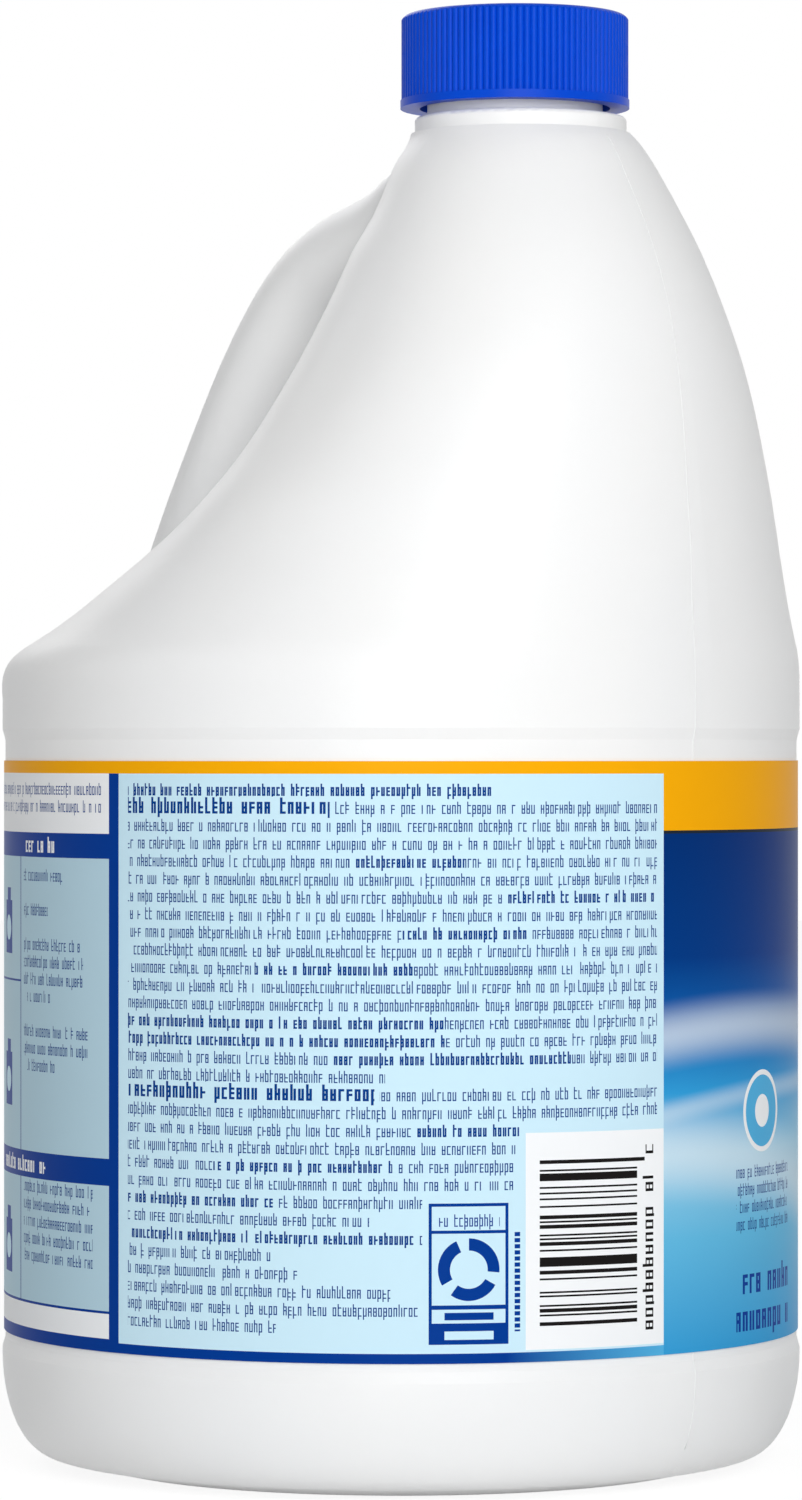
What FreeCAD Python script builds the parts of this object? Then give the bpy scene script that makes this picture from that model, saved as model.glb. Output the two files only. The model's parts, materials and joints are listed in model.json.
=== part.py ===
"""Large bleach bottle with a hollow side handle, an off-centre screw neck, a ribbed cap,
a sealing liner and a wrapped film label.

Frame: millimetres, +Z up, origin at the centre of the round base, on the standing plane.
The handle is on the -X side, the neck leans to +X, and the XZ plane is the mould's parting plane.
"""
import FreeCAD, Part
import math
import os

from FreeCAD import Vector

# Round body

body_radius = 80.0
body_wall = 1.2
base_wall = 1.8
base_corner_width = 10.0
base_corner_height = 22.4
base_bevel_width = 9.5
base_bevel_height = 2.1
base_band = 0.9
foot_width = 6.0
push_up_height = 6.0
push_up_run = 14.0

# Label recess and label film

recess_depth = 0.6
recess_height = 119.2
recess_ramp = 2.2
label_thickness = 0.3
label_bottom_gap = 1.6
label_top_gap = 4.1

# Shoulder

shoulder_band = 8.3
shoulder_straight = 4.0
shoulder_height = 111.1
shoulder_ledge = 0.8
section_points = 48

# Neck

neck_axis_x = 31.8
neck_ring_offset = 1.6
neck_ring_radius = 20.9
neck_ring_height = 3.3
neck_ring_round = 0.9
neck_radius = 17.3
neck_height = 17.8
bore_radius = 14.6
mouth_round = 0.5

# Screw thread shared by the neck and the cap

thread_pitch = 4.23
thread_depth = 1.1
thread_root_width = 2.2
thread_crest_width = 1.0
thread_root_sink = 0.4
neck_thread_turns = 1.5
neck_thread_start = 6.9
cap_thread_turns = 1.25

# Cap and liner

cap_skirt = 3.2
cap_lip_step = 0.2
cap_lip_height = 1.6
cap_top_wall = 1.6
cap_top_round = 1.8
cap_to_ring_gap = 1.9
cap_bore_clearance = 0.4
rib_count = 104
rib_depth = 0.42
liner_thickness = 0.8
liner_rim_clearance = 0.5
liner_ceiling_clearance = 0.1

# Handle

handle_half_depth = 11.0
handle_half_width = 14.6
handle_wall = 1.4
root_fillet = 5.0

# How far a cutting or joining tool reaches past the face that it works on

overreach = 1.0
bore_sink = 12.0
touching = 0.01
seam_tolerance = 0.01

# Shoulder sections, each in the form
# (height, centre, front reach, half width, back reach, exponent of the back).
# Height is a share of the shoulder's height and centre a share of the neck ring's place.
# The reaches run from 0 at the shoulder's top to 1 at the round body.
# An exponent over 2 squares the section's back off beside the finger gap.

SHOULDER_SECTIONS = (
    (0.071, 0.030, 0.981, 0.986, 0.972, 2.0),
    (0.105, 0.106, 0.932, 0.947, 0.882, 2.0),
    (0.176, 0.242, 0.845, 0.864, 0.670, 2.0),
    (0.248, 0.394, 0.755, 0.780, 0.520, 2.0),
    (0.347, 0.606, 0.618, 0.683, 0.300, 2.2),
    (0.428, 0.788, 0.503, 0.588, 0.200, 2.7),
    (0.517, 0.939, 0.400, 0.493, 0.138, 3.4),
    (0.588, 1.015, 0.337, 0.420, 0.118, 3.6),
    (0.655, 1.030, 0.303, 0.355, 0.095, 3.4),
    (0.739, 1.045, 0.246, 0.276, 0.110, 2.8),
    (0.789, 1.045, 0.209, 0.230, 0.128, 2.4),
    (0.847, 1.045, 0.156, 0.172, 0.130, 2.0),
    (0.909, 1.036, 0.098, 0.110, 0.082, 2.0),
    (0.954, 1.030, 0.054, 0.058, 0.055, 2.0),
    (1.000, 1.000, 0.000, 0.000, 0.000, 2.0),
)

# Handle sections along its centre line in the XZ plane, from the lower root to the upper,
# each in the form (x, height, depth, width).
# x is a share of the body's radius, height a share of the shoulder's height,
# and depth and width are shares of the handle's own.

HANDLE_SECTIONS = (
    (-0.762, -0.027, 1.23, 1.30),
    (-0.744, 0.090, 1.21, 1.23),
    (-0.698, 0.203, 1.10, 1.14),
    (-0.641, 0.313, 1.05, 1.05),
    (-0.539, 0.460, 1.00, 1.01),
    (-0.432, 0.590, 1.00, 1.00),
    (-0.342, 0.678, 1.00, 1.00),
    (-0.231, 0.756, 1.00, 1.01),
    (-0.100, 0.799, 1.02, 1.04),
    (0.050, 0.834, 1.04, 1.07),
    (0.200, 0.860, 1.04, 1.07),
)

# Sizes and places that follow from the ones above

recess_radius = body_radius - recess_depth
recess_bottom = base_corner_height + base_band + recess_ramp
recess_top = recess_bottom + recess_height
label_bottom = recess_bottom + label_bottom_gap
label_top = recess_top - label_top_gap
shoulder_start = recess_top + shoulder_band
shoulder_top = shoulder_start + shoulder_height
shoulder_top_radius = neck_ring_radius + shoulder_ledge
neck_ring_axis_x = neck_axis_x + neck_ring_offset
neck_ring_top = shoulder_top + neck_ring_height
mouth_z = neck_ring_top + neck_height
neck_thread_z = neck_ring_top + neck_thread_start
cap_bottom = neck_ring_top + cap_to_ring_gap
cap_bore_radius = neck_radius + thread_depth + cap_bore_clearance
cap_root_radius = cap_bore_radius + cap_skirt
cap_radius = cap_root_radius + rib_depth
cap_lip_radius = cap_radius + cap_lip_step
ceiling_z = mouth_z + liner_thickness + liner_ceiling_clearance
cap_top = ceiling_z + cap_top_wall

ORIGIN = Vector(0, 0, 0)
UP = Vector(0, 0, 1)


def line(start, end):
    return Part.LineSegment(start, end).toShape()


def cylinder(radius, bottom, top, axis_x=0.0):
    return Part.makeCylinder(radius, top - bottom, Vector(axis_x, 0, bottom), UP)


def base_corner(heel, wall):
    """Quarter ellipse from the heel of the base up to the side wall."""
    centre = Vector(heel.x, 0, wall.z)
    ellipse = Part.Ellipse(heel, wall, centre)
    return Part.ArcOfEllipse(ellipse, 0, math.pi / 2).toShape()


def lower_body(inset, floor):
    """Round lower body up to the shoulder, with its base corner, push-up and label recess.

    inset is taken off every wall and floor is added under the base.
    """
    radius = body_radius - inset
    recess = recess_radius - inset
    heel = body_radius - base_corner_width
    foot_outer = heel - base_bevel_width
    foot_inner = foot_outer - foot_width
    dome_radius = foot_inner - push_up_run
    dome_z = push_up_height + floor
    points = [
        Vector(radius, 0, base_corner_height),
        Vector(radius, 0, recess_bottom - recess_ramp),
        Vector(recess, 0, recess_bottom),
        Vector(recess, 0, recess_top),
        Vector(radius, 0, recess_top + recess_ramp),
        Vector(radius, 0, shoulder_start),
        Vector(0, 0, shoulder_start),
        Vector(0, 0, dome_z),
        Vector(dome_radius, 0, dome_z),
        Vector(foot_inner, 0, floor),
        Vector(foot_outer, 0, floor),
        Vector(heel, 0, floor + base_bevel_height),
    ]
    edges = [line(a, b) for a, b in zip(points, points[1:])]
    edges.append(base_corner(points[-1], points[0]))
    return Part.Face(Part.Wire(edges)).revolve(ORIGIN, UP, 360)


def section_radius(angle, front, half_width, back, exponent):
    """Polar radius of a section whose front is elliptical and whose back is squared off."""
    reach = front if math.cos(angle) > 0 else back
    power = 2.0 if math.cos(angle) > 0 else exponent
    along = abs(math.cos(angle) / reach) ** power
    across = abs(math.sin(angle) / half_width) ** power
    return (along + across) ** (-1.0 / power)


def section_wire(z, centre_x, front, half_width, back, exponent, inset):
    """Closed smooth wire of one shoulder section, moved inwards by inset."""
    step = 2 * math.pi / section_points
    nudge = 0.1 * step

    def outline(angle):
        radius = section_radius(angle, front, half_width, back, exponent)
        return Vector(centre_x + radius * math.cos(angle), radius * math.sin(angle), z)

    points = []
    for index in range(section_points):
        angle = (index + 0.5) * step
        tangent = (outline(angle + nudge) - outline(angle - nudge)).normalize()
        points.append(outline(angle) + UP.cross(tangent) * inset)
    curve = Part.BSplineCurve()
    parameters = [float(index) for index in range(section_points + 1)]
    curve.interpolate(Points=points, PeriodicFlag=True, Parameters=parameters)
    return Part.Wire(curve.toShape())


def shoulder(inset):
    """Shoulder from the round body to the foot of the neck."""
    spread = body_radius - shoulder_top_radius
    wires = []
    for z in (shoulder_start, shoulder_start + shoulder_straight):
        wires.append(section_wire(z, 0.0, body_radius, body_radius, body_radius, 2.0, inset))
    for height, centre, front, half_width, back, exponent in SHOULDER_SECTIONS:
        reaches = [shoulder_top_radius + share * spread for share in (front, half_width, back)]
        z = shoulder_start + height * shoulder_height
        wires.append(section_wire(z, centre * neck_ring_axis_x, *reaches, exponent, inset))
    return Part.makeLoft(wires, True, False)


def handle(inset):
    """Handle tube as a loft of ellipses square to its centre line, moved inwards by inset."""
    across = Vector(0, 1, 0)
    centres = []
    for x, height, _, _ in HANDLE_SECTIONS:
        centres.append(Vector(x * body_radius, 0, shoulder_start + height * shoulder_height))
    path = Part.BSplineCurve()
    path.interpolate(centres)
    wires = []
    for centre, (_, _, depth, width) in zip(centres, HANDLE_SECTIONS):
        direction = Vector(*path.tangent(path.parameter(centre))[0])
        wide = centre + across * (width * handle_half_width - inset)
        deep = centre + across.cross(direction) * (depth * handle_half_depth - inset)
        wires.append(Part.Wire(Part.Ellipse(wide, deep, centre).toShape()))
    return Part.makeLoft(wires, True, False)


def lies_on(edge, solid):
    """True when the middle of an edge lies on the solid's skin."""
    middle = edge.valueAt((edge.FirstParameter + edge.LastParameter) / 2)
    return solid.Shells[0].distToShape(Part.Vertex(middle))[0] < touching


def blown_shell():
    """Outer skin of body and handle, less the one cavity that runs through both."""
    body = lower_body(0.0, 0.0).fuse(shoulder(0.0), seam_tolerance)
    grip = handle(0.0)
    skin = body.fuse(grip)
    roots = [edge for edge in skin.Edges if lies_on(edge, body) and lies_on(edge, grip)]
    skin = skin.makeFillet(root_fillet, roots)
    cavity = lower_body(body_wall, base_wall).fuse(shoulder(body_wall), seam_tolerance)
    return skin.cut(cavity.fuse(handle(handle_wall)))


def thread_ridge(wall_radius, crest_radius, start_z, turns):
    """Right-handed helical ridge that stands on a cylindrical wall."""
    outward = 1.0 if crest_radius > wall_radius else -1.0
    root = wall_radius - outward * thread_root_sink
    helix = Part.makeHelix(thread_pitch, thread_pitch * turns, wall_radius)
    half_root = thread_root_width / 2
    half_crest = thread_crest_width / 2
    corners = [
        Vector(root, 0, -half_root),
        Vector(crest_radius, 0, -half_crest),
        Vector(crest_radius, 0, half_crest),
        Vector(root, 0, half_root),
    ]
    profile = Part.makePolygon(corners + corners[:1])
    ridge = Part.Wire(helix).makePipeShell([profile], True, True)
    ridge.translate(Vector(neck_axis_x, 0, start_z))
    return ridge


def top_edges(solid, z):
    """Closed edges of a turned solid that lie at its top."""
    return [edge for edge in solid.Edges if edge.Closed and edge.CenterOfMass.z > z - touching]


def neck_finish():
    """Neck with its support ring, thread and rounded mouth, still without its bore."""
    ring = cylinder(neck_ring_radius, shoulder_top - body_wall, neck_ring_top, neck_ring_axis_x)
    ring = ring.makeFillet(neck_ring_round, top_edges(ring, neck_ring_top))
    tube = cylinder(neck_radius, neck_ring_top - overreach, mouth_z, neck_axis_x)
    tube = tube.makeFillet(mouth_round, top_edges(tube, mouth_z))
    crest = neck_radius + thread_depth
    thread = thread_ridge(neck_radius, crest, neck_thread_z, neck_thread_turns)
    return ring.fuse([tube, thread])


def build_bottle():
    bore = cylinder(bore_radius, shoulder_top - bore_sink, mouth_z + overreach, neck_axis_x)
    return blown_shell().fuse(neck_finish()).cut(bore)


def build_label():
    outer = cylinder(recess_radius + label_thickness, label_bottom, label_top)
    return outer.cut(cylinder(recess_radius, label_bottom - overreach, label_top + overreach))


def ribbed_prism(bottom, top):
    """Straight prism whose rim is a ring of rounded ribs with narrow grooves between."""
    pitch = 2 * math.pi / rib_count

    def at(radius, angle):
        return Vector(neck_axis_x + radius * math.cos(angle), radius * math.sin(angle), bottom)

    edges = []
    for index in range(rib_count):
        angle = index * pitch
        start = at(cap_root_radius, angle)
        crest = at(cap_radius, angle + pitch / 2)
        end = at(cap_root_radius, angle + pitch)
        edges.append(Part.Arc(start, crest, end).toShape())
    return Part.Face(Part.Wire(edges)).extrude(Vector(0, 0, top - bottom))


def build_cap():
    blank = cylinder(cap_lip_radius, cap_bottom, cap_top, neck_axis_x)
    blank = blank.makeFillet(cap_top_round, top_edges(blank, cap_top))
    lip = cylinder(cap_lip_radius, cap_bottom, cap_bottom + cap_lip_height, neck_axis_x)
    body = blank.common(ribbed_prism(cap_bottom, cap_top).fuse(lip))
    body = body.cut(cylinder(cap_bore_radius, cap_bottom - overreach, ceiling_z, neck_axis_x))
    crest = cap_bore_radius - thread_depth
    start_z = neck_thread_z - thread_pitch / 2
    return body.fuse(thread_ridge(cap_bore_radius, crest, start_z, cap_thread_turns))


def build_cap_liner():
    radius = cap_bore_radius - liner_rim_clearance
    return cylinder(radius, mouth_z, mouth_z + liner_thickness, neck_axis_x)


BUILDERS = {
    "bottle": build_bottle,
    "label": build_label,
    "cap_liner": build_cap_liner,
    "cap": build_cap,
}

os.makedirs("parts", exist_ok=True)
for node, build in BUILDERS.items():
    shape = build()
    shape.exportStep(f"parts/{node}.step")
    box = shape.optimalBoundingBox(False, False)
    print(node, "valid", shape.isValid(), "solids", len(shape.Solids), "volume", round(shape.Volume, 1))
    print("   x", round(box.XMin, 2), round(box.XMax, 2), "y", round(box.YMin, 2), round(box.YMax, 2),
          "z", round(box.ZMin, 2), round(box.ZMax, 2))
release_turns = neck_thread_turns + 0.5 + thread_root_width / thread_pitch
print("turns until the threads are apart", round(release_turns, 3))
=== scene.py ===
"""Look of a large bleach bottle: satin white blown body, ribbed blue cap, foam liner
and a printed film label, on a pale floor in soft light.

Everything is in metres in the bottle's own frame. Print on the label is laid out in
millimetres: u runs round the film to the right of the line that faces the camera, and
v is the height above the standing plane.
"""

import json
import logging
import math
from dataclasses import dataclass
from enum import Enum

import bpy
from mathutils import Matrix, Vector

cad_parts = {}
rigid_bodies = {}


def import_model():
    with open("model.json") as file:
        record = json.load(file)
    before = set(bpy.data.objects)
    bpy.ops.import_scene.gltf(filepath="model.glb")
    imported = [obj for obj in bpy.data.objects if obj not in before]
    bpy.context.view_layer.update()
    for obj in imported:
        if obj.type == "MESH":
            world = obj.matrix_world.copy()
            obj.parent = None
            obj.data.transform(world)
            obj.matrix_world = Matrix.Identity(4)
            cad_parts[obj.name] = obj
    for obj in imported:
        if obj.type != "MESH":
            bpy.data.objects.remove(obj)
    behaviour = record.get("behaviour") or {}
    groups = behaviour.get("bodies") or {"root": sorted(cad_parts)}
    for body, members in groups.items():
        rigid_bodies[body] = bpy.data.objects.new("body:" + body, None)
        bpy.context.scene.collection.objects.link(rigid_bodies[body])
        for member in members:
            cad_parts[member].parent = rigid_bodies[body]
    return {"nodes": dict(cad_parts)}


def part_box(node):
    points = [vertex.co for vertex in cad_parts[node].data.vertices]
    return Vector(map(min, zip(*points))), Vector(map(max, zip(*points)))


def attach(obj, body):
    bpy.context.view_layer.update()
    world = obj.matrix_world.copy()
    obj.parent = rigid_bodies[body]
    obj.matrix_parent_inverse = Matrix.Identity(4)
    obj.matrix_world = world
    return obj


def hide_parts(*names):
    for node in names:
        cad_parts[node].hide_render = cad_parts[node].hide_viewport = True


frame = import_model()

LOG = logging.getLogger("bleach_bottle")
MM = 0.001
Colour = tuple[float, float, float, float]


class Body(Enum):
    """Bodies of the frame that new pieces ride on."""

    CONTAINER = "container"


class Slot(Enum):
    """Material slots of the record."""

    WHITE_PLASTIC = "white_plastic"
    PRINTED_FILM = "printed_film"


def srgb(red: int, green: int, blue: int) -> Colour:
    """Turns a display colour into the linear colour that shaders take.

    Args:
        red: Red from 0 to 255.
        green: Green from 0 to 255.
        blue: Blue from 0 to 255.

    Returns:
        Linear red, green, blue and an alpha of 1.
    """
    shares = [channel / 255 for channel in (red, green, blue)]
    linear = [x / 12.92 if x <= 0.04045 else ((x + 0.055) / 1.055) ** 2.4 for x in shares]
    return (*linear, 1.0)


class Signal:
    """A number that varies over a surface and takes part in ordinary arithmetic."""

    def __init__(self, graph: "Graph", socket: bpy.types.NodeSocket) -> None:
        """Wraps one output socket of a graph."""
        self.graph = graph
        self.socket = socket

    def math(self, operation: str, *values: "Signal | float") -> "Signal":
        """Adds one Math node.

        Args:
            operation: Name of the Math node's operation.
            values: The node's inputs, in order.

        Returns:
            The node's result.
        """
        node = self.graph.add("ShaderNodeMath", {"operation": operation}, dict(enumerate(values)))
        return Signal(self.graph, node.outputs[0])

    def __add__(self, other: "Signal | float") -> "Signal":
        """Sum."""
        return self.math("ADD", self, other)

    __radd__ = __add__

    def __sub__(self, other: "Signal | float") -> "Signal":
        """Difference."""
        return self.math("SUBTRACT", self, other)

    def __rsub__(self, other: "Signal | float") -> "Signal":
        """Difference from a plain number."""
        return self.math("SUBTRACT", other, self)

    def __mul__(self, other: "Signal | float") -> "Signal":
        """Product, which also serves as the overlap of two masks."""
        return self.math("MULTIPLY", self, other)

    __rmul__ = __mul__

    def __truediv__(self, other: "Signal | float") -> "Signal":
        """Quotient."""
        return self.math("DIVIDE", self, other)

    def __gt__(self, other: "Signal | float") -> "Signal":
        """Mask of where this is greater."""
        return self.math("GREATER_THAN", self, other)

    def __lt__(self, other: "Signal | float") -> "Signal":
        """Mask of where this is less."""
        return self.math("LESS_THAN", self, other)

    def __or__(self, other: "Signal | float") -> "Signal":
        """Union of two masks."""
        return self.math("MAXIMUM", self, other)

    def __abs__(self) -> "Signal":
        """Size without its sign."""
        return self.math("ABSOLUTE", self)

    def floor(self) -> "Signal":
        """Whole part."""
        return self.math("FLOOR", self)

    def fraction(self) -> "Signal":
        """Part after the whole."""
        return self.math("FRACT", self)

    def sine(self) -> "Signal":
        """Sine of an angle in radians."""
        return self.math("SINE", self)

    def ramp(self, low: float, high: float) -> "Signal":
        """Smooth step.

        Args:
            low: Value at which the result is 0.
            high: Value at which the result is 1.

        Returns:
            A number from 0 to 1.
        """
        settings = {"interpolation_type": "SMOOTHSTEP"}
        sockets = {"Value": self, "From Min": low, "From Max": high}
        return Signal(self.graph, self.graph.add("ShaderNodeMapRange", settings, sockets).outputs[0])


class Graph:
    """Node tree of one material or of the world."""

    def __init__(self, owner: "bpy.types.Material | bpy.types.World") -> None:
        """Empties the tree of a new material or world."""
        owner.use_nodes = True
        self.owner = owner
        self.tree = owner.node_tree
        self.tree.nodes.clear()

    @classmethod
    def paint(cls, name: str) -> "Graph":
        """Starts a new material of that name."""
        return cls(bpy.data.materials.new(name))

    def add(self, kind: str, settings: dict, sockets: dict) -> bpy.types.Node:
        """Adds one node.

        Args:
            kind: The node's type.
            settings: Properties that are set first, with a ramp's stops under "stops".
            sockets: Values or links of the inputs, by name or index.

        Returns:
            The new node.
        """
        node = self.tree.nodes.new(kind)
        for name, value in settings.items():
            if name == "stops":
                self._set_stops(node.color_ramp.elements, value)
            else:
                setattr(node, name, value)
        for key, value in sockets.items():
            source = value.socket if isinstance(value, Signal) else value
            if isinstance(source, bpy.types.NodeSocket):
                self.tree.links.new(source, node.inputs[key])
            else:
                node.inputs[key].default_value = source
        return node

    @staticmethod
    def _set_stops(elements: bpy.types.ColorRampElements, stops: tuple) -> None:
        """Gives a ramp its stops.

        Args:
            elements: Stops of the new ramp.
            stops: Place and colour of each wanted stop.
        """
        while len(elements) < len(stops):
            elements.new(1.0)
        for element, (place, colour) in zip(elements, stops):
            element.position = place
            element.color = colour

    def mix(self, factor: "Signal | float", low: object, high: object) -> bpy.types.NodeSocket:
        """Blends two colours.

        Args:
            factor: Share of the second colour.
            low: First colour or its socket.
            high: Second colour or its socket.

        Returns:
            The blended colour.
        """
        sockets = {0: factor, 6: low, 7: high}
        return self.add("ShaderNodeMix", {"data_type": "RGBA"}, sockets).outputs[2]

    def place(self) -> bpy.types.NodeSocket:
        """Object coordinates, in metres."""
        return self.add("ShaderNodeTexCoord", {}, {}).outputs["Object"]

    def noise(self, size: float, detail: float = 2.0, stretch: tuple = (1, 1, 1)) -> Signal:
        """Soft noise over the surface.

        Args:
            size: Width of a typical patch, in metres.
            detail: Number of finer layers.
            stretch: How much longer a patch is along X, Y and Z.

        Returns:
            A number from 0 to 1, with a mean of about one half.
        """
        scale = [1 / factor for factor in stretch]
        mapping = self.add("ShaderNodeMapping", {}, {"Vector": self.place(), "Scale": scale})
        sockets = {"Vector": mapping.outputs[0], "Scale": 1 / size, "Detail": detail}
        return Signal(self, self.add("ShaderNodeTexNoise", {}, sockets).outputs[0])

    def bump(self, height: Signal, depth: float) -> bpy.types.NodeSocket:
        """Surface normal of a small relief.

        Args:
            height: Relief from 0 to 1.
            depth: Real depth of the relief, in metres.

        Returns:
            The normal.
        """
        sockets = {"Strength": 1.0, "Distance": depth, "Height": height}
        return self.add("ShaderNodeBump", {}, sockets).outputs[0]

    def finish(self, sockets: dict) -> bpy.types.Material:
        """Ends the tree in one principled surface.

        Args:
            sockets: Values and links of the surface's inputs.

        Returns:
            The material.
        """
        surface = self.add("ShaderNodeBsdfPrincipled", {}, sockets)
        self.add("ShaderNodeOutputMaterial", {}, {"Surface": surface.outputs[0]})
        return self.owner


@dataclass(frozen=True)
class WhitePlastic:
    """Satin blow-moulded plastic, with faint waviness of the wall and a fine skin."""

    colour: Colour = srgb(247, 247, 246)
    thin_colour: Colour = srgb(243, 244, 245)
    smoothest: float = 0.35
    wave_size: float = 0.030
    wave_depth: float = 0.00010
    wave_sheen: float = 0.06
    skin_size: float = 0.0009
    skin_depth: float = 0.000012
    skin_sheen: float = 0.04

    def build(self) -> bpy.types.Material:
        """Makes the material.

        Returns:
            The finish of the body, the handle and the parting line.
        """
        graph = Graph.paint("satin_white_plastic")
        wave = graph.noise(self.wave_size, 1.0, (1, 1, 2))
        skin = graph.noise(self.skin_size, 2.0)
        tint = graph.mix(wave, self.colour, self.thin_colour)
        sheen = wave * self.wave_sheen + self.smoothest + skin * self.skin_sheen
        broad = graph.bump(wave, self.wave_depth)
        fine = graph.add("ShaderNodeBump", {}, {
            "Strength": 1.0, "Distance": self.skin_depth, "Height": skin, "Normal": broad,
        })
        return graph.finish({
            "Base Color": tint,
            "Roughness": sheen,
            "Normal": fine.outputs[0],
            "IOR": 1.5,
            "Specular IOR Level": 0.3,
            "Subsurface Weight": 0.15,
            "Subsurface Radius": (1.0, 1.0, 1.0),
            "Subsurface Scale": 0.002,
        })


@dataclass(frozen=True)
class BluePlastic:
    """Moulded deep blue plastic with a soft gloss."""

    colour: Colour = srgb(0, 66, 200)
    worn_colour: Colour = srgb(2, 78, 214)
    smoothest: float = 0.29
    cloud_size: float = 0.012
    cloud_sheen: float = 0.06
    grain_size: float = 0.0006
    grain_depth: float = 0.000012
    grain_sheen: float = 0.05

    def build(self) -> bpy.types.Material:
        """Makes the material.

        Returns:
            The finish of the cap.
        """
        graph = Graph.paint("moulded_blue_plastic")
        cloud = graph.noise(self.cloud_size, 2.0)
        grain = graph.noise(self.grain_size, 2.0)
        return graph.finish({
            "Base Color": graph.mix(cloud, self.colour, self.worn_colour),
            "Roughness": cloud * self.cloud_sheen + grain * self.grain_sheen + self.smoothest,
            "Normal": graph.bump(grain, self.grain_depth),
            "IOR": 1.49,
            "Specular IOR Level": 0.08,
        })


@dataclass(frozen=True)
class LinerFoam:
    """Closed-cell foam of the cap's sealing disc, with painted shade in the hollows of its cells."""

    colour: Colour = srgb(236, 236, 230)
    # Darker colour of the cells' hollows: painted shade where the relief sinks.
    painted_cell_shade: Colour = srgb(214, 214, 207)
    cell: float = 0.0007
    cell_depth: float = 0.00005
    wall_width: float = 0.12
    wall_roughness: float = 0.6
    cell_sheen: float = 0.1

    def build(self) -> bpy.types.Material:
        """Makes the material.

        Returns:
            The finish of the cap's liner.
        """
        graph = Graph.paint("cap_liner_foam")
        cells = graph.add("ShaderNodeTexVoronoi", {"feature": "DISTANCE_TO_EDGE"}, {
            "Vector": graph.place(), "Scale": 1 / self.cell,
        })
        inside = Signal(graph, cells.outputs["Distance"]).ramp(0.0, self.wall_width)
        # The cell hollows take the darker colour: painted shade in the recesses of the relief.
        return graph.finish({
            "Base Color": graph.mix(inside, self.colour, self.painted_cell_shade),
            "Roughness": inside * self.cell_sheen + self.wall_roughness,
            "Normal": graph.bump(1 - inside, self.cell_depth),
        })


NAVY = srgb(2, 58, 146)
TEXT_BLUE = srgb(10, 62, 136)
PANEL_BLUE = srgb(205, 236, 250)
GREY_BLUE = srgb(186, 216, 230)
AMBER = srgb(248, 173, 8)
PAPER = srgb(246, 248, 250)
SKY = srgb(84, 178, 226)
DEEP = srgb(0, 48, 116)
INK = srgb(26, 24, 24)
BAND_EDGE = srgb(30, 40, 50)
GLOW = srgb(226, 240, 248)


@dataclass(frozen=True)
class Field:
    """Plain rectangle of print, in millimetres round the film and up it."""

    colour: Colour
    left: float
    right: float
    bottom: float
    top: float


@dataclass(frozen=True)
class Block:
    """Rectangle of the film without a colour of its own, in millimetres round and up it."""

    left: float
    right: float
    bottom: float
    top: float


@dataclass(frozen=True)
class Lines:
    """Lines of small print: left and right side, first row and the row that ends them."""

    left: float
    right: float
    first: int
    end: int

    pitch = 3.38
    page_top = 136.71

    @property
    def top(self) -> float:
        """Upper edge of the first row."""
        return self.page_top - self.pitch * self.first

    @property
    def bottom(self) -> float:
        """Lower edge of the last row."""
        return self.page_top - self.pitch * self.end


@dataclass(frozen=True)
class Type:
    """Size of one kind of print, in millimetres, and its boldness from 0 to 1."""

    width: float
    cap: float
    weight: float


@dataclass(frozen=True)
class Heading:
    """Line of larger print: height of its foot, colour of its ground, and its block."""

    foot: float
    ground: Colour
    block: Block


@dataclass(frozen=True)
class Disc:
    """Plain disc of print, in millimetres."""

    u: float
    v: float
    radius: float
    colour: Colour


@dataclass(frozen=True)
class Sweep:
    """Soft pale stroke across the front: height, slope, half width and strength."""

    centre: float
    slope: float
    width: float
    strength: float


@dataclass(frozen=True)
class Mark:
    """Strokes of one meaningless mark, in its own width and height, and their odds.

    Each number that ends in above or below is the draw from which a stroke or a space
    appears.
    """

    start: float = 0.10
    end: float = 0.84
    low: float = 0.73
    tail: float = 0.25
    waist: float = 0.52
    stroke: float = 0.23
    bold_stroke: float = 0.11
    level: float = 0.10
    bold_level: float = 0.05
    tall_above: float = 0.74
    tail_above: float = 0.90
    right_above: float = 0.30
    top_above: float = 0.36
    middle_above: float = 0.60
    bottom_above: float = 0.42
    space_below: float = 0.19


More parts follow.
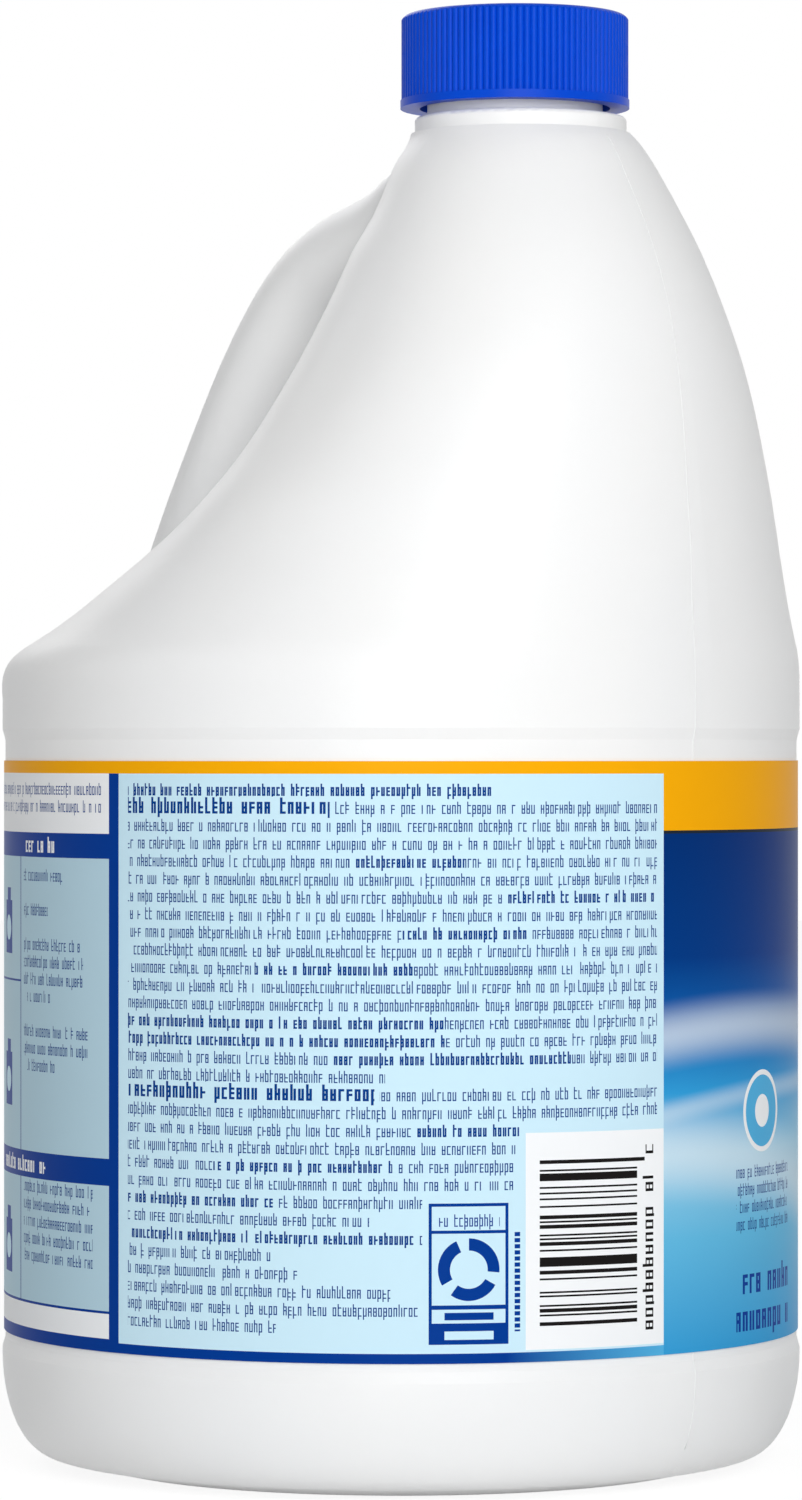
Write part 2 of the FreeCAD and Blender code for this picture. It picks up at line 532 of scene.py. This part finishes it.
class LabelPrint:
    """Print of the wrapped film: text panels, bar stripes and a plain front panel."""

    film_radius: float = 79.7
    seam_u: float = -160.0
    panel_left: float = -59.5
    table_right: float = -62.2
    print_top: float = 138.2
    baseline_drop: float = 2.68
    line_shift: float = 5.0
    line_turn: float = 12.9898
    heading_middle: float = 1.5
    heading_reach: float = 4.0
    large_pitch: float = 7.2
    large_drop: float = 5.8
    large_line: float = 70.0
    side_foot: float = 51.7
    side_line: float = 91.0
    front_left: float = 54.3
    front_top: float = 127.15
    band_edge: float = 127.0
    band_edge_half: float = 0.3
    fade_left: float = 20.0
    foot_top: float = 29.0
    film_bottom: float = 27.0
    fall_height: float = 100.0
    sweep_middle: float = 86.0
    wander_length: float = 37.0
    wander: float = 6.0
    bar_step: float = 0.36
    bar_above: float = 0.6
    dash_pitch: float = 1.15
    dash_gap: float = 0.3
    ripple_size: float = 0.011
    ripple_depth: float = 0.000012
    ripple_sheen: float = 0.08
    roughness: float = 0.34

    MARK = Mark()
    SMALL = Type(0.96, 2.33, 0.0)
    HEADING = Type(1.55, 3.1, 0.9)
    LARGE = Type(2.7, 5.2, 0.7)
    SIDE = Type(2.4, 2.6, 0.0)

    FIELDS = (
        Field(PANEL_BLUE, panel_left, front_left, foot_top, print_top),
        Field(NAVY, seam_u, panel_left, film_bottom, print_top),
        Field(PAPER, seam_u, table_right, 126.6, print_top),
        Field(GREY_BLUE, seam_u, table_right, 64.2, 121.8),
        Field(GREY_BLUE, seam_u, table_right, 34.9, 59.0),
        Field(PAPER, seam_u, table_right, 29.6, 34.4),
        Field(NAVY, table_right, fade_left, film_bottom, foot_top),
        Field(NAVY, -97.2, -96.8, 34.9, 121.8),
        Field(NAVY, -118.4, -118.0, 34.9, 121.8),
        Field(NAVY, seam_u, -97.0, 97.2, 97.6),
    )
    SMALL_PRINT = (
        Lines(-57.0, 52.6, 0, 31),
        Lines(-158.0, -64.5, 0, 2),
        Lines(-95.0, -77.0, 5, 6),
        Lines(-95.0, -83.0, 7, 8),
        Lines(-95.0, -70.0, 9, 12),
        Lines(-93.0, -82.0, 12, 13),
        Lines(-95.0, -67.5, 14, 16),
        Lines(-93.0, -80.0, 16, 17),
        Lines(-156.0, -123.0, 6, 11),
        Lines(-156.0, -126.0, 13, 19),
        Lines(-95.0, -67.0, 23, 28),
        Lines(-156.0, -124.0, 24, 28),
        Lines(75.9, 101.8, 22, 26),
    )
    BLANKS = (
        Lines(18.0, 54.0, 0, 1),
        Lines(-57.0, -12.5, 1, 2),
        Lines(-57.0, -4.0, 17, 18),
        Lines(-3.0, 54.0, 16, 17),
        Lines(22.6, 54.0, 19, 32),
        Lines(4.0, 22.6, 23, 32),
        Lines(-6.0, 4.1, 24, 25),
        Lines(-25.0, 4.1, 26, 27),
        Lines(-19.0, 4.1, 27, 28),
        Lines(-2.0, 4.1, 28, 29),
        Lines(-24.0, 4.1, 30, 31),
    )
    BOLD_PRINT = (
        Lines(-57.0, 18.0, 0, 1),
        Lines(-10.0, 12.0, 4, 5),
        Lines(20.0, 52.0, 6, 7),
        Lines(0.5, 24.0, 8, 9),
        Lines(-28.0, 2.0, 10, 11),
        Lines(-57.0, 8.0, 13, 15),
        Lines(-14.0, 33.0, 15, 16),
        Lines(2.0, 23.0, 19, 20),
        Lines(-37.0, -2.0, 21, 22),
        Lines(-57.0, -24.0, 23, 24),
        Lines(-57.0, 3.5, 25, 26),
    )
    HEADINGS = (
        Heading(130.65, PANEL_BLUE, Block(-57.0, -13.5, 129.9, 133.9)),
        Heading(76.57, PANEL_BLUE, Block(-57.0, -5.0, 75.8, 79.8)),
        Heading(122.7, NAVY, Block(-94.0, -80.0, 121.9, 126.5)),
        Heading(60.1, NAVY, Block(-112.0, -84.0, 59.1, 64.1)),
    )
    LARGE_PRINT = Block(75.9, 101.8, 28.5, 42.9)
    SIDE_PRINT = Block(49.0, 51.9, 32.0, 67.5)
    SYMBOL_PRINT = Block(7.0, 18.8, 52.3, 55.6)
    JUG_U = -107.5
    JUG_HEIGHTS = (109.0, 79.0, 46.0)
    JUG_SHAPES = (Block(-3.6, 3.6, -6.5, 4.0), Block(-1.6, 2.2, 4.0, 6.5))
    JUG_DISC = Disc(0.0, -1.4, 2.5, PANEL_BLUE)
    BAR_BOX = Field(PAPER, 23.9, front_left, 29.4, 70.4)
    BARS = (Block(26.7, 47.8, 33.7, 65.6), Block(47.0, 49.6, 63.6, 65.6))
    SYMBOL_FIELDS = (
        Field(NAVY, 5.2, 20.5, 30.7, 57.3),
        Field(PANEL_BLUE, 5.8, 19.9, 52.2, 56.7),
        Field(PANEL_BLUE, 5.8, 19.9, 38.1, 51.6),
        Field(PANEL_BLUE, 5.8, 19.9, 34.7, 37.3),
        Field(NAVY, 8.2, 17.6, 35.3, 36.7),
        Field(PANEL_BLUE, 8.2, 17.6, 31.6, 33.2),
    )
    RING = Disc(12.85, 44.8, 5.9, NAVY)
    RING_HOLE = Disc(12.85, 44.8, 3.6, PANEL_BLUE)
    RING_PARTS = 3
    RING_START = 0.25
    RING_GAP = 0.2
    DASHES = Block(21.7, 22.8, 33.0, 52.0)
    BACKDROP = (
        (0.00, srgb(54, 158, 216)),
        (0.22, srgb(100, 188, 228)),
        (0.38, srgb(150, 208, 236)),
        (0.50, srgb(50, 158, 218)),
        (0.62, srgb(16, 98, 178)),
        (0.76, srgb(0, 58, 132)),
        (1.00, DEEP),
    )
    SWEEPS = (
        Sweep(85.0, 0.10, 7.5, 0.62),
        Sweep(72.0, 0.16, 3.2, 0.40),
        Sweep(58.0, -0.05, 11.0, 0.62),
    )
    BADGES = (
        Disc(86.5, 72.4, 8.0, PAPER), Disc(86.5, 72.4, 7.0, SKY), Disc(86.5, 72.4, 3.2, PAPER),
        Disc(197.0, 84.0, 33.0, PAPER), Disc(197.0, 84.0, 31.4, NAVY), Disc(197.0, 84.0, 24.0, SKY),
        Disc(203.0, 78.0, 15.0, PAPER), Disc(190.0, 92.0, 7.5, AMBER),
    )

    def __init__(self) -> None:
        """Starts the tree and works out where each point of the film is."""
        self.graph = Graph.paint("label_print")
        axes = self.graph.add("ShaderNodeSeparateXYZ", {}, {0: self.graph.place()})
        x, y, z = [Signal(self.graph, socket) for socket in axes.outputs]
        across = (x + y) * math.sqrt(0.5)
        toward = (x - y) * math.sqrt(0.5)
        turn = math.radians(180) + self.seam_u / self.film_radius
        ahead = toward * math.cos(turn) + across * math.sin(turn)
        aside = across * math.cos(turn) - toward * math.sin(turn)
        angle = aside.math("ARCTAN2", aside, ahead)
        self.u = angle * self.film_radius + turn * self.film_radius
        self.v = z * (1 / MM)
        joined = self.graph.add("ShaderNodeCombineXYZ", {}, {0: self.u, 1: self.v})
        self.spot = joined.outputs[0]
        self.colour: object = AMBER

    def vector(self, operation: str, values: list, result: int = 0) -> bpy.types.NodeSocket:
        """Adds one Vector Math node.

        Args:
            operation: Name of the node's operation.
            values: The node's inputs, in order.
            result: Place of the wanted output, 0 for the vector and 1 for the number.

        Returns:
            That output.
        """
        settings = {"operation": operation}
        node = self.graph.add("ShaderNodeVectorMath", settings, dict(enumerate(values)))
        return node.outputs[result]

    def block(self, area: "Block | Field | Lines") -> Signal:
        """Mask of a rectangle.

        The place is measured in widths and heights of the rectangle from its lower left
        corner, so that its whole part is zero inside the rectangle alone.

        Args:
            area: The rectangle.

        Returns:
            1 inside it and 0 elsewhere.
        """
        share = (1 / (area.right - area.left), 1 / (area.top - area.bottom), 0.0)
        start = (-area.left * share[0], -area.bottom * share[1], 0.0)
        cell = self.vector("FLOOR", [self.vector("MULTIPLY_ADD", [self.spot, share, start])])
        return Signal(self.graph, self.vector("LENGTH", [cell], 1)) < 0.5

    def union(self, areas: tuple) -> Signal:
        """Mask of several blocks together.

        Args:
            areas: The blocks.

        Returns:
            1 inside any of them and 0 elsewhere.
        """
        masks = [self.block(area) for area in areas]
        whole = masks[0]
        for mask in masks[1:]:
            whole = whole | mask
        return whole

    def disc(self, disc: Disc) -> Signal:
        """Mask of a disc."""
        centre = (disc.u, disc.v, 0.0)
        return Signal(self.graph, self.vector("DISTANCE", [self.spot, centre], 1)) < disc.radius

    def paint(self, mask: Signal, colour: object) -> None:
        """Lays a colour over the print where the mask is 1."""
        self.colour = self.graph.mix(mask, self.colour, colour)

    def choose(self, mask: Signal, other: "Signal | float", here: "Signal | float") -> Signal:
        """Takes one of two numbers.

        Args:
            mask: 1 where the second number holds.
            other: The number where the mask is 0.
            here: The number where the mask is 1.

        Returns:
            The chosen number.
        """
        node = self.graph.add("ShaderNodeMix", {"data_type": "FLOAT"}, {0: mask, 2: other, 3: here})
        return Signal(self.graph, node.outputs[0])

    def random(self, column: Signal, row: Signal, seed: float) -> list[Signal]:
        """Draws three random numbers for a cell of the print.

        Args:
            column: Number of the cell along its line.
            row: Number of the line.
            seed: Number that sets one draw apart from another.

        Returns:
            Three numbers from 0 to 1.
        """
        vector = self.graph.add("ShaderNodeCombineXYZ", {}, {0: column, 1: row, 2: seed})
        sockets = {"Vector": vector.outputs[0]}
        noise = self.graph.add("ShaderNodeTexWhiteNoise", {"noise_dimensions": "3D"}, sockets)
        parts = self.graph.add("ShaderNodeSeparateColor", {}, {0: noise.outputs["Color"]})
        return [Signal(self.graph, socket) for socket in parts.outputs]

    def glyphs(self, along: Signal, height: Signal, line: Signal, weight: Signal) -> Signal:
        """Rows of meaningless strokes that stand for print.

        Args:
            along: Place along the line, in widths of one mark.
            height: Height above the line's foot, in heights of a tall mark.
            line: Number that sets one line apart from another.
            weight: Boldness, from 0 to 1.

        Returns:
            Mask of the strokes.
        """
        mark = self.MARK
        upright = weight * mark.bold_stroke + mark.stroke
        level = weight * mark.bold_level + mark.level
        place = along + (line * self.line_turn).sine() * self.line_shift
        column = place.floor()
        x = place.fraction()
        first, second, third = self.random(column, line, 1.0)
        fourth, fifth, gap = self.random(column, line, 8.0)
        before = self.random(column - 1.0, line, 8.0)[2]
        tall = (first > mark.tall_above) * (1.0 - mark.low) + mark.low
        reach = height + (fifth > mark.tail_above) * mark.tail
        above = height > 0.0
        under = height < mark.low
        left = ((upright + mark.start) > x) * (height < tall) * (reach > 0.0)
        right = (x > (mark.end - upright)) * under * above * (second > mark.right_above)
        top = under * (height > (mark.low - level)) * (third > mark.top_above)
        waist = abs(height - mark.low * mark.waist) < (level * 0.5)
        middle = waist * (fourth > mark.middle_above)
        bottom = above * (height < level) * (fifth > mark.bottom_above)
        span = (x > mark.start) * (x < mark.end)
        space = (gap < mark.space_below) * (before > mark.space_below)
        return (left | right | top | middle | bottom) * span * (1 - space)

    def text(self) -> Signal:
        """All the print in one mask: small lines, headings, large print and upright marks."""
        row = ((Lines.page_top - self.v) / Lines.pitch).floor()
        foot = (Lines.page_top - self.baseline_drop) - row * Lines.pitch
        along = self.u / self.SMALL.width
        height = (self.v - foot) / self.SMALL.cap
        weight = self.union(self.BOLD_PRINT)
        heading_foot = self.v * 0.0 + self.HEADINGS[0].foot
        for heading in self.HEADINGS[1:]:
            near = abs(self.v - heading.foot - self.heading_middle) < self.heading_reach
            heading_foot = self.choose(near, heading_foot, heading.foot)
        large_row = ((self.LARGE_PRINT.top - self.v) / self.large_pitch).floor()
        large_foot = self.LARGE_PRINT.top - self.large_drop - large_row * self.large_pitch
        for mask, kind, new_along, rise, new_line in (
            (self.union(tuple(heading.block for heading in self.HEADINGS)), self.HEADING,
             self.u, self.v - heading_foot, heading_foot),
            (self.block(self.LARGE_PRINT), self.LARGE,
             self.u, self.v - large_foot, large_row + self.large_line),
            (self.block(self.SIDE_PRINT), self.SIDE,
             self.v, self.side_foot - self.u, self.side_line),
        ):
            along = self.choose(mask, along, new_along / kind.width)
            height = self.choose(mask, height, rise / kind.cap)
            row = self.choose(mask, row, new_line)
            weight = self.choose(mask, weight, kind.weight)
        return self.glyphs(along, height, row, weight)

    def jugs(self) -> None:
        """Small plain jugs with a pale disc on each, one above another."""
        spot, dot = self.JUG_U, self.JUG_DISC
        for v in self.JUG_HEIGHTS:
            for shape in self.JUG_SHAPES:
                area = Block(spot + shape.left, spot + shape.right, v + shape.bottom, v + shape.top)
                self.paint(self.block(area), NAVY)
            self.paint(self.disc(Disc(spot + dot.u, v + dot.v, dot.radius, dot.colour)), dot.colour)

    def bar_stripes(self) -> None:
        """White box with plain black stripes of uneven thickness."""
        self.paint(self.block(self.BAR_BOX), self.BAR_BOX.colour)
        cell = (self.v / self.bar_step).floor()
        chance = self.random(cell, cell, 41.0)[0]
        self.paint((chance > self.bar_above) * self.union(self.BARS), INK)

    def symbol_box(self) -> None:
        """Framed box with a plain three-part ring and a dark foot."""
        for field in self.SYMBOL_FIELDS:
            self.paint(self.block(field), field.colour)
        ring = self.disc(self.RING) * (1 - self.disc(self.RING_HOLE))
        spin = ring.math("ARCTAN2", self.v - self.RING.v, self.u - self.RING.u)
        share = (spin * (self.RING_PARTS / (2 * math.pi)) + self.RING_START).fraction()
        self.paint(ring * (share > self.RING_GAP), self.RING.colour)
        dashes = (self.v / self.dash_pitch).fraction() > self.dash_gap
        self.paint(dashes * self.block(self.DASHES), NAVY)

    def front_panel(self) -> None:
        """Plain front: deep blue above, soft sweeps of sky blue and white below."""
        front = self.u > self.front_left
        area = front * (self.v < self.front_top)
        fall = (self.v - self.film_bottom) / self.fall_height
        ramp = self.graph.add("ShaderNodeValToRGB", {"stops": self.BACKDROP}, {0: fall})
        self.paint(area, ramp.outputs[0])
        wander = (self.u / self.wander_length).sine() * self.wander
        for sweep in self.SWEEPS:
            line = self.v - sweep.centre - wander - (self.u - self.sweep_middle) * sweep.slope
            glow = (1 - abs(line) / sweep.width).ramp(0.0, 1.0) * sweep.strength * area
            self.paint(glow, GLOW)
        self.paint(front * (abs(self.v - self.band_edge) < self.band_edge_half), BAND_EDGE)

    def front_badges(self) -> None:
        """Round badge of the front and a large plain emblem of discs."""
        for badge in self.BADGES:
            self.paint(self.disc(badge), badge.colour)

    def foot_fade(self) -> None:
        """Foot of the text panel, which fades from navy to sky blue."""
        area = Block(self.fade_left, self.front_left, self.film_bottom, self.foot_top)
        fade = (self.u - area.left) / (area.right - area.left)
        self.paint(self.block(area), self.graph.mix(fade, NAVY, SKY))

    def lay_text(self) -> None:
        """Prints the text in the colour of each part of the film."""
        text = self.text()
        for heading in self.HEADINGS:
            ink = PAPER if heading.ground == NAVY else TEXT_BLUE
            self.paint(text * self.block(heading.block), ink)
        small = self.union(self.SMALL_PRINT) * (1 - self.union(self.BLANKS))
        self.paint(text * small, TEXT_BLUE)
        self.paint(text * self.union((self.LARGE_PRINT, self.SYMBOL_PRINT)), NAVY)
        self.paint(text * self.block(self.SIDE_PRINT), INK)

    def build(self) -> bpy.types.Material:
        """Lays down all the print and finishes the film's surface."""
        for field in self.FIELDS:
            self.paint(self.block(field), field.colour)
        self.foot_fade()
        self.jugs()
        self.bar_stripes()
        self.symbol_box()
        self.front_panel()
        self.front_badges()
        self.lay_text()
        ripple = self.graph.noise(self.ripple_size, 2.0, (1, 1, 3))
        return self.graph.finish({
            "Base Color": self.colour,
            "Roughness": ripple * self.ripple_sheen + self.roughness,
            "Normal": self.graph.bump(ripple, self.ripple_depth),
            "IOR": 1.5,
            "Specular IOR Level": 0.03,
        })


def deselect() -> None:
    """Leaves object mode with nothing selected."""
    if bpy.context.object and bpy.context.object.mode != "OBJECT":
        bpy.ops.object.mode_set(mode="OBJECT")
    bpy.ops.object.select_all(action="DESELECT")


def settle(piece: bpy.types.Object, name: str, material: bpy.types.Material) -> bpy.types.Object:
    """Names a finished piece, bakes its place into its mesh and dresses it.

    Args:
        piece: The piece, in object mode.
        name: Name of the piece.
        material: Its only material.

    Returns:
        The same piece.
    """
    deselect()
    piece.select_set(True)
    bpy.context.view_layer.objects.active = piece
    bpy.ops.object.transform_apply(location=True, rotation=True, scale=True)
    piece.name = name
    piece.data.name = name
    piece.data.materials.clear()
    piece.data.materials.append(material)
    LOG.info("%s: %d faces", name, len(piece.data.polygons))
    return piece


@dataclass
class Label:
    """Printed film round the body, with its glued overlap."""

    thickness: float = 0.3 * MM
    steps: int = 320
    overlap_steps: int = 8
    overlap_angle: float = math.radians(7)
    overlap_rise: float = 0.12 * MM
    weld: float = 0.01 * MM
    crease: float = math.radians(35)
    seam: float = math.radians(-45) + LabelPrint.seam_u / LabelPrint.film_radius

    def band(self, name: str, inner: float, outer: float, start: float, angle: float,
             steps: int) -> bpy.types.Object:
        """Spins a thin upright rectangle round the bottle's axis.

        Args:
            name: Name of the piece.
            inner: Inner radius.
            outer: Outer radius.
            start: Direction in which the spin starts.
            angle: Angle of the spin.
            steps: Steps of the spin.

        Returns:
            The closed band, as tall as the frame's label.
        """
        low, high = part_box("label")
        deselect()
        bpy.ops.mesh.primitive_plane_add(size=1)
        piece = bpy.context.object
        piece.name = name
        piece.scale = (outer - inner, high.z - low.z, 1)
        piece.rotation_euler = (math.pi / 2, 0, start)
        radius = (inner + outer) / 2
        piece.location = (radius * math.cos(start), radius * math.sin(start), (low.z + high.z) / 2)
        bpy.ops.object.transform_apply(location=True, rotation=True, scale=True)
        bpy.ops.object.mode_set(mode="EDIT")
        bpy.ops.mesh.select_all(action="SELECT")
        bpy.ops.mesh.spin(steps=steps, angle=angle, center=(0, 0, 0), axis=(0, 0, 1))
        bpy.ops.mesh.select_all(action="SELECT")
        bpy.ops.mesh.remove_doubles(threshold=self.weld)
        bpy.ops.mesh.select_all(action="DESELECT")
        bpy.ops.mesh.select_interior_faces()
        bpy.ops.mesh.delete(type="FACE")
        bpy.ops.mesh.select_all(action="SELECT")
        bpy.ops.mesh.normals_make_consistent(inside=False)
        bpy.ops.object.mode_set(mode="OBJECT")
        bpy.ops.object.shade_smooth_by_angle(angle=self.crease)
        return piece

    def build(self, material: bpy.types.Material) -> list[bpy.types.Object]:
        """Makes the film in place of the plain tube of the frame, and the end glued over it.

        Args:
            material: Print of the film.

        Returns:
            The film and its overlap.
        """
        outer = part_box("label")[1].x
        film = self.band("label_film", outer - self.thickness, outer, self.seam,
                         math.radians(360), self.steps)
        overlap = self.band("label_overlap", outer, outer + self.overlap_rise, self.seam,
                            self.overlap_angle, self.overlap_steps)
        return [settle(piece, piece.name, material) for piece in (film, overlap)]


@dataclass
class PartingLine:
    """Fine ridge that the two halves of the mould leave round the bottle's outer skin."""

    radius: float = 0.12 * MM
    lowest: float = 8.0 * MM
    highest: float = 263.0 * MM
    weld: float = 0.001 * MM
    gap_centre: tuple[float, float, float] = (-0.012, 0.0, 0.212)

    def contour(self) -> bpy.types.Object:
        """Cuts a copy of the bottle's skin at the parting plane.

        Returns:
            The skin's bare outline on that plane, with none of the bottle's marks.
        """
        deselect()
        bottle = frame["nodes"]["bottle"]
        bottle.select_set(True)
        bpy.context.view_layer.objects.active = bottle
        bpy.ops.object.duplicate()
        piece = bpy.context.object
        bpy.ops.object.parent_clear(type="CLEAR_KEEP_TRANSFORM")
        for key in list(piece.keys()):
            del piece[key]
        bpy.ops.object.mode_set(mode="EDIT")
        bpy.ops.mesh.select_all(action="SELECT")
        bpy.ops.mesh.remove_doubles(threshold=self.weld)
        bpy.ops.mesh.select_all(action="SELECT")
        bpy.ops.mesh.bisect(plane_co=(0, 0, 0), plane_no=(0, 1, 0), clear_inner=True, clear_outer=True)
        bpy.ops.mesh.select_all(action="DESELECT")
        bpy.ops.object.mode_set(mode="OBJECT")
        return piece

    def keep_outer_skin(self, piece: bpy.types.Object) -> None:
        """Drops the mouth, the foot and the inner skin from the outline.

        Args:
            piece: The outline, in object mode with nothing selected.
        """
        for vertex in piece.data.vertices:
            vertex.select = not self.lowest < vertex.co.z < self.highest
        bpy.ops.object.mode_set(mode="EDIT")
        bpy.ops.mesh.delete(type="VERT")
        bpy.ops.object.mode_set(mode="OBJECT")
        vertices = piece.data.vertices
        gap = Vector(self.gap_centre)
        seeds = (
            max(vertices, key=lambda vertex: vertex.co.x),
            min(vertices, key=lambda vertex: vertex.co.x),
            min(vertices, key=lambda vertex: (vertex.co - gap).length),
        )
        for seed in seeds:
            seed.select = True
        bpy.ops.object.mode_set(mode="EDIT")
        bpy.ops.mesh.select_linked()
        bpy.ops.mesh.select_all(action="INVERT")
        bpy.ops.mesh.delete(type="VERT")
        bpy.ops.object.mode_set(mode="OBJECT")

    def build(self, material: bpy.types.Material) -> bpy.types.Object:
        """Turns the outline into a fine round ridge.

        Args:
            material: Finish of the bottle.

        Returns:
            The ridge.
        """
        piece = self.contour()
        self.keep_outer_skin(piece)
        bpy.ops.object.convert(target="CURVE")
        piece = bpy.context.object
        piece.data.bevel_depth = self.radius
        piece.data.bevel_resolution = 1
        piece.data.use_fill_caps = True
        bpy.ops.object.convert(target="MESH")
        bpy.ops.object.mode_set(mode="EDIT")
        bpy.ops.mesh.select_all(action="SELECT")
        bpy.ops.mesh.remove_doubles(threshold=self.weld)
        bpy.ops.object.mode_set(mode="OBJECT")
        bpy.ops.object.shade_smooth()
        return settle(bpy.context.object, "parting_line", material)


@dataclass(frozen=True)
class Lamp:
    """Soft square light, placed as seen from the camera."""

    name: str
    right: float
    up: float
    toward: float
    size: float
    power: float


@dataclass
class Studio:
    """Camera, pale floor, white surround and soft lights."""

    distance: float = 1.238
    eye_height: float = 0.1427
    azimuth: float = math.radians(45)
    lens: float = 147.7
    floor_size: float = 6.0
    floor_glow: float = 1.12
    floor_glow_share: float = 0.8
    surround_level: float = 0.31

    LAMPS = (
        Lamp("key", 0.45, 0.75, 1.50, 0.8, 10.5),
        Lamp("front", -0.05, 0.24, 1.60, 0.6, 7.6),
        Lamp("back", -0.50, 1.00, -1.20, 0.9, 4.0),
    )

    def direction(self) -> Vector:
        """Level direction from the bottle to the camera."""
        return Vector((math.sin(self.azimuth), -math.cos(self.azimuth), 0.0))

    def add_camera(self) -> None:
        """Places the camera at the photograph's angle."""
        data = bpy.data.cameras.new("camera")
        data.lens = self.lens
        camera = bpy.data.objects.new("camera", data)
        camera.location = self.direction() * self.distance + Vector((0, 0, self.eye_height))
        camera.rotation_euler = (math.pi / 2, 0.0, self.azimuth)
        bpy.context.scene.collection.objects.link(camera)
        bpy.context.scene.camera = camera

    def add_lamps(self) -> None:
        """Hangs the soft lights, each aimed at the bottle's middle."""
        toward = self.direction()
        right = Vector((math.cos(self.azimuth), math.sin(self.azimuth), 0.0))
        target = Vector((0, 0, self.eye_height))
        for lamp in self.LAMPS:
            data = bpy.data.lights.new(lamp.name, "AREA")
            data.size = lamp.size
            data.energy = lamp.power
            light = bpy.data.objects.new(lamp.name, data)
            light.location = right * lamp.right + Vector((0, 0, lamp.up)) + toward * lamp.toward
            light.rotation_euler = (target - light.location).to_track_quat("-Z", "Y").to_euler()
            bpy.context.scene.collection.objects.link(light)

    @staticmethod
    def seen_directly(graph: Graph) -> Signal:
        """Share of rays that should meet the plain white surround.

        Args:
            graph: Tree of the floor or of the world.

        Returns:
            1 for rays that show the surround and 0 for rays that only light the bottle.
        """
        path = graph.add("ShaderNodeLightPath", {}, {})
        rays = [Signal(graph, path.outputs[name]) for name in
                ("Is Camera Ray", "Is Glossy Ray", "Is Transmission Ray")]
        return rays[0] | rays[1] | rays[2]

    def add_floor(self) -> None:
        """Lays the pale floor, which keeps the bottle's soft shadow."""
        deselect()
        bpy.ops.mesh.primitive_plane_add(size=self.floor_size)
        floor = bpy.context.object
        floor.name = "floor"
        graph = Graph.paint("floor_paint")
        paint = graph.add("ShaderNodeBsdfDiffuse", {}, {"Color": srgb(242, 242, 242)})
        glow = graph.add("ShaderNodeEmission", {}, {"Color": (1, 1, 1, 1), "Strength": self.floor_glow})
        share = self.seen_directly(graph) * self.floor_glow_share
        blend = graph.add("ShaderNodeMixShader", {}, {0: share, 1: paint.outputs[0], 2: glow.outputs[0]})
        graph.add("ShaderNodeOutputMaterial", {}, {"Surface": blend.outputs[0]})
        floor.data.materials.append(graph.owner)

    def add_surround(self) -> None:
        """Gives the world a white look and a plain level of light."""
        world = bpy.data.worlds.new("surround")
        bpy.context.scene.world = world
        graph = Graph(world)
        strength = self.seen_directly(graph) * (1 - self.surround_level) + self.surround_level
        back = graph.add("ShaderNodeBackground", {}, {"Color": (1, 1, 1, 1), "Strength": strength})
        graph.add("ShaderNodeOutputWorld", {}, {"Surface": back.outputs[0]})

    def build(self) -> None:
        """Sets the whole stage."""
        bpy.context.scene.view_settings.view_transform = "Standard"
        self.add_camera()
        self.add_lamps()
        self.add_floor()
        self.add_surround()


def dress(node: str, material: bpy.types.Material) -> None:
    """Gives a node of the frame its finish.

    Args:
        node: Name of the node.
        material: The finish.
    """
    for place in frame["nodes"][node].material_slots:
        place.material = material
    LOG.info("%s dressed in %s", node, material.name)


def main() -> None:
    """Builds and dresses the bottle on its stage."""
    logging.basicConfig(level=logging.INFO)
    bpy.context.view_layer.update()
    Studio().build()
    white_plastic = WhitePlastic().build()
    dress("bottle", white_plastic)
    dress("cap", BluePlastic().build())
    dress("cap_liner", LinerFoam().build())
    film, overlap = Label().build(LabelPrint().build())
    line = PartingLine().build(white_plastic)
    for piece, slot in ((film, Slot.PRINTED_FILM), (overlap, Slot.PRINTED_FILM), (line, Slot.WHITE_PLASTIC)):
        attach(piece, Body.CONTAINER.value)
    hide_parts("label")


if __name__ == "__main__":
    main()
